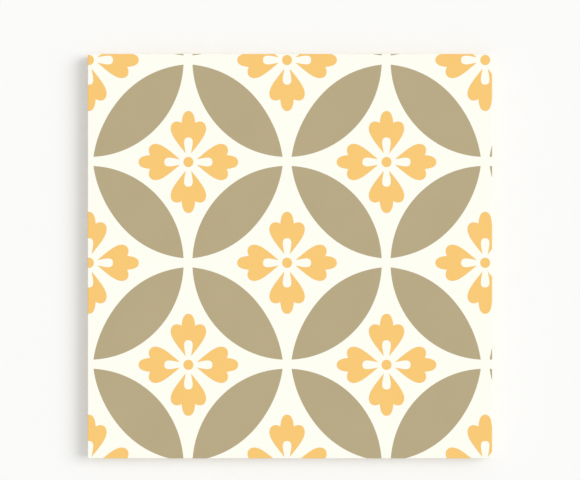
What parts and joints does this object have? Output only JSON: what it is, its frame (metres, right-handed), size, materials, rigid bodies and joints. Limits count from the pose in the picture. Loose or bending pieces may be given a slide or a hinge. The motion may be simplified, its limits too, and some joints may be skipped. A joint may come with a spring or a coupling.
{
  "type": "decorative ceramic tile",
  "caption": "Square glazed wall and floor tile with a flat decorated face, eased glazed edges and a pressed waffle key on its back.",
  "frame": {"origin": "centre of the bedding plane, on which the ribs of the back stand", "axes": "+Z out of the glazed face; +X and +Y along the square's sides, with +Y towards the top of the tile in the picture and +X to its right"},
  "size_m": [0.2, 0.2, 0.008],
  "materials": {
    "cream_glaze": "satin",
    "taupe_glaze": "satin",
    "yellow_glaze": "satin"
  },
  "bodies": {
    "root": {"tile": "cream_glaze"}
  },
  "joints": []
}
